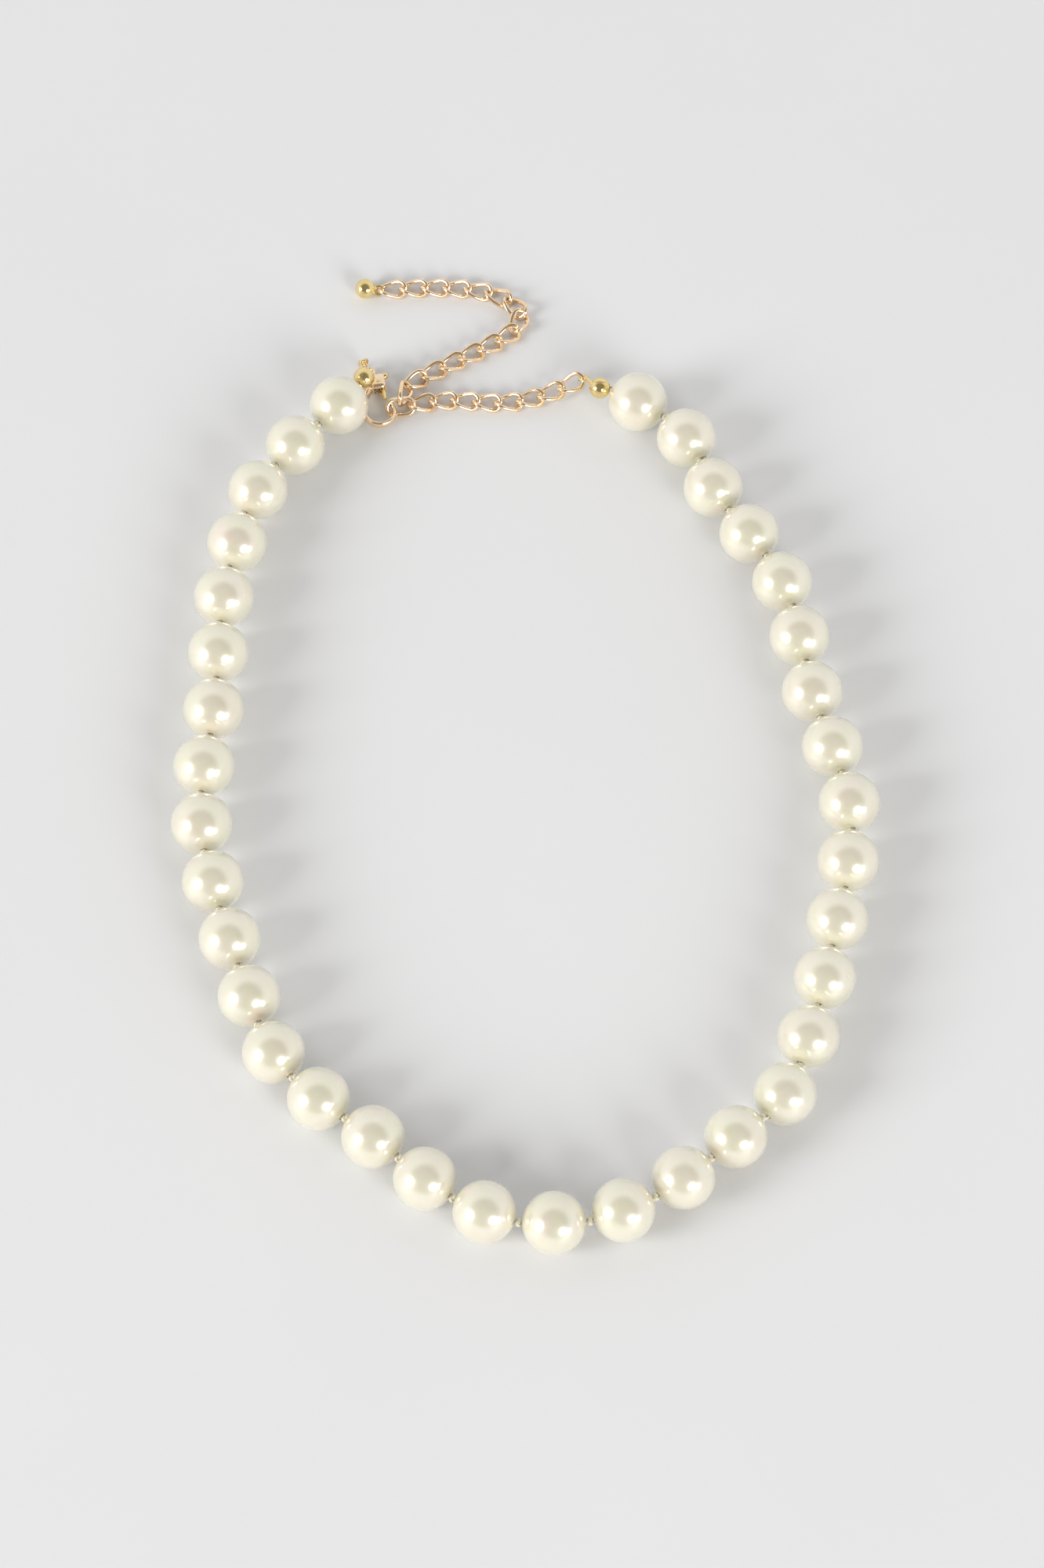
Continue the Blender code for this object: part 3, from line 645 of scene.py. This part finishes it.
def knotted(name, path, knot_at, forward, width, length):
    """A length of thread with a tight knot on it."""
    strand = bent_wire(path, [THREAD / 2] * len(path), sides=12)
    loop = knot_loop(knot_at, forward, width / 2 - KNOT_LOBE, length / 2 - KNOT_LOBE * 0.6)
    knot = bent_wire(loop, [KNOT_LOBE] * KNOT_STEPS, closed=True, sides=8)
    pick(strand)
    knot.select_set(True)
    bpy.ops.object.join()
    settle(strand, name, silk)
    return strand


for index in range(PEARLS - 1):
    here, after = bores[index], bores[index + 1]
    start, end = here @ mouth, after @ -mouth
    forward = (centres[index + 1] - centres[index]).normalized()
    piece = knotted(
        f"silk_knot_{index + 1:02d}_{index + 2:02d}",
        [centres[index], start, (start + end) / 2, end, centres[index + 1]],
        (start + end) / 2, forward, KNOT, KNOT_LENGTH)
    first, second = pearl_names[index], pearl_names[index + 1]
    if first == OPEN_AFTER:
        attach(piece, first)
    else:
        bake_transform(piece)
    if index == 0:
        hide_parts("silk_thread")

for name, tip, tip_node, index, pearl_mouth in (
    ("silk_end_left", left_tip, "bead_tip_left", 0, left_mouth),
    ("silk_end_right", right_tip, "bead_tip_right", PEARLS - 1, right_mouth),
):
    inward = (pearl_mouth - tip).normalized()
    piece = knotted(
        name, [tip - inward * END_KNOT * 0.4, tip, pearl_mouth, centres[index]],
        tip, inward, END_KNOT, END_KNOT * 0.8)
    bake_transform(piece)


# ---- Pearls
# Round beads under many thin coats of nacre, bored through and sealed with a clear glaze:
# ivory with faint rose and green lights, and a small rounded edge at each bore.

PEARL_SEGMENTS = 72
PEARL_EDGE = 0.00009
POLE_SHARE = 0.9999
OUT_OF_ROUND = 0.004

nacre, tree, shader = new_material("nacre", (0.88, 0.83, 0.69), 0.24, 0.30)
overtone = ramp(
    tree, noise(tree, 130, 2),
    (0.30, (0.87, 0.81, 0.66)), (0.45, (0.90, 0.85, 0.71)),
    (0.58, (0.87, 0.85, 0.67)), (0.70, (0.91, 0.82, 0.70)))
tree.links.new(overtone, shader.inputs["Base Color"])
growth = noise(tree, 420, 4)
tree.links.new(spread(tree, growth, 0.19, 0.30), shader.inputs["Roughness"])
bumps(tree, shader, growth, 0.00001)
shader.inputs["Subsurface Weight"].default_value = 0.25
shader.inputs["Subsurface Radius"].default_value = (1.0, 0.8, 0.55)
shader.inputs["Subsurface Scale"].default_value = 0.0012
shader.inputs["Coat Weight"].default_value = 1.0
shader.inputs["Coat Roughness"].default_value = 0.02
shader.inputs["Coat IOR"].default_value = 2.10
shader.inputs["Sheen Weight"].default_value = 0.15
shader.inputs["Sheen Roughness"].default_value = 0.35

bead = round_ball(PEARL_RADIUS, PEARL_SEGMENTS)
open_ends(bead, lambda at: abs(at.z) > PEARL_RADIUS * POLE_SHARE)
edit(
    bead,
    lambda: bpy.ops.mesh.select_all(action="DESELECT"),
    lambda: bpy.ops.mesh.select_non_manifold(),
    lambda: bpy.ops.mesh.bridge_edge_loops(),
)
apply(bead, "BEVEL", width=PEARL_EDGE, segments=3, limit_method="ANGLE",
      angle_limit=math.radians(50))
clean(bead)

grown = random.Random(7)
for name, bore in zip(pearl_names, bores):
    pearl = bead.copy()
    pearl.data = bead.data.copy()
    scene.collection.objects.link(pearl)
    swell = [1 - grown.uniform(0, OUT_OF_ROUND) for _ in range(3)]
    pearl.data.transform(Matrix.Diagonal((*swell, 1)))
    settle(pearl, "nacre_" + name, nacre, bore)
    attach(pearl, name)
    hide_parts(name)
bpy.data.objects.remove(bead)


# ---- Chain
# Curb links: each is an oval of round wire, twisted a quarter turn so that the chain lies
# flat, soldered shut and then filed on both faces, which leaves small bright flats.

LINKS = 24
HELD = 9
LINK_HOLE = 0.0021
LINK_WIRE = 0.00066
CHAIN_WIRE = 0.00082
FILED_HEIGHT = 0.00102
HELD_HEIGHT = 0.00130
HELD_TURN = math.radians(8)
OVAL_CUTS = (-0.75, -0.25, 0.25, 0.75)

half_width = (LINK_HOLE + LINK_WIRE) / 2
half_length = LINK_PITCH / 2 + BAR_OFFSET
straight = half_length - half_width


def oval():
    """A flat oval of wire in the xy plane, long in y, with cuts along its straights."""
    link = ring_of(half_width, CHAIN_WIRE, around=40, sides=14)
    mesh = link.data
    for vertex in mesh.vertices:
        if abs(vertex.co.y) > 1e-7:
            vertex.co.y += math.copysign(straight, vertex.co.y)
    for share in OVAL_CUTS:
        edit(link, lambda: bpy.ops.mesh.select_all(action="SELECT"),
             lambda: bpy.ops.mesh.bisect(plane_co=(0, share * straight, 0), plane_no=(0, 1, 0)))
    return link


def twisted_link(start_roll, end_roll):
    """The oval turned evenly from one roll to the other along its length."""
    link = oval()
    for vertex in link.data.vertices:
        share = 0.5 + vertex.co.y / (2 * half_length)
        roll = start_roll + (end_roll - start_roll) * share
        vertex.co = Matrix.Rotation(roll, 3, "Y") @ vertex.co
    return link


def filed(link, height):
    """Both faces filed flat at that height, where the twist raises the wire."""
    for side in (1, -1):
        edit(link, lambda: bpy.ops.mesh.select_all(action="SELECT"),
             lambda: bpy.ops.mesh.bisect(
                 plane_co=(0, 0, side * height), plane_no=(0, 0, side)))
    for vertex in link.data.vertices:
        vertex.co.z = max(-height, min(height, vertex.co.z))
    return clean(link)


curb = filed(twisted_link(-LINK_ROLL, LINK_ROLL), FILED_HEIGHT)
held = filed(twisted_link(-LINK_ROLL, -LINK_ROLL), HELD_HEIGHT)
after_held = twisted_link(math.radians(90), LINK_ROLL)


def link_place(start, end):
    """The link's own x lies to the left and its length lies forward."""
    along = row((start + end) / 2, end - start)
    return along @ Matrix.Rotation(math.radians(90), 4, "X")


def add_link(number, node, start, end):
    """One link between two meeting points, riding on its node's body."""
    model = {HELD: held, HELD + 1: after_held}.get(number, curb)
    link = model.copy()
    link.data = model.data.copy()
    scene.collection.objects.link(link)
    settle(link, f"curb_link_{number:02d}", rose_gold, link_place(start, end), 35)
    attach(link, node)
    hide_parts(node)


def pair_middle(node, start, end):
    """Where the two links of a pair meet."""
    return (4 * mean_point(node) - start - end) / 2


outer_end = hinge_at["chain_link_07_08"]
outward = Matrix.Rotation(HELD_TURN, 3, "Z") @ Vector((1, 0, 0))
add_link(HELD, "chain_link_09", outer_end, outer_end - outward * LINK_PITCH)

end = outer_end
for node in ("chain_link_07_08", "chain_link_05_06", "chain_link_03_04"):
    numbers = [int(part) for part in node.split("_")[2:]]
    before = f"chain_link_{numbers[0] - 2:02d}_{numbers[0] - 1:02d}"
    start = hinge_at[before]
    meeting = pair_middle(node, start, end)
    add_link(numbers[0], node, start, meeting)
    add_link(numbers[1], node, meeting, end)
    end = start
add_link(1, "chain_link_01_02", chain_start, first_meeting)
add_link(2, "chain_link_01_02", first_meeting, end)

tail = sorted(name for name in frame["nodes"]
              if name.startswith("chain_link_") and int(name.split("_")[2]) > HELD)
ball_loop = hinge_at["end_ball"]
last_start = hinge_at[tail[-1]]
last_way = (ball_loop - last_start).normalized()
ends = [hinge_at[node] for node in tail[1:]] + [ball_loop - last_way * BAR_OFFSET]
for node, end in zip(tail, ends):
    numbers = [int(part) for part in node.split("_")[2:]]
    start = hinge_at[node]
    if len(numbers) == 2:
        meeting = pair_middle(node, start, end)
        add_link(numbers[0], node, start, meeting)
        add_link(numbers[1], node, meeting, end)
    else:
        add_link(numbers[0], node, start, end)
for model in (curb, held, after_held):
    bpy.data.objects.remove(model)


# ---- End ball
# A small hollow ball, spun and polished, with an eye soldered on that holds it to the last
# link, so that the chain's tail has a finished end.

BALL_RADIUS = 0.0017
BALL_SINK = 0.9

rim = ball_loop + last_way * LOOP_RADIUS
ball_at = rim + last_way * BALL_RADIUS * BALL_SINK
ball_at.z = BALL_RADIUS
ball = round_ball(BALL_RADIUS, 64)
ball.data.transform(row(ball_at, last_way))
collar = bent_wire([ball_at - last_way * BALL_RADIUS * 0.85, rim], [0.00052, 0.00030])
last_link = row(last_start, last_way).to_3x3()
ball_bar = last_link @ Vector((math.cos(LINK_ROLL), math.sin(LINK_ROLL), 0))
join_solid(ball, "UNION", collar, ring_of(LOOP_RADIUS, LOOP_WIRE, row(ball_loop, ball_bar)))
clean(ball)
settle(ball, "tail_ball", yellow_gold)
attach(ball, "end_ball")
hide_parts("end_ball")
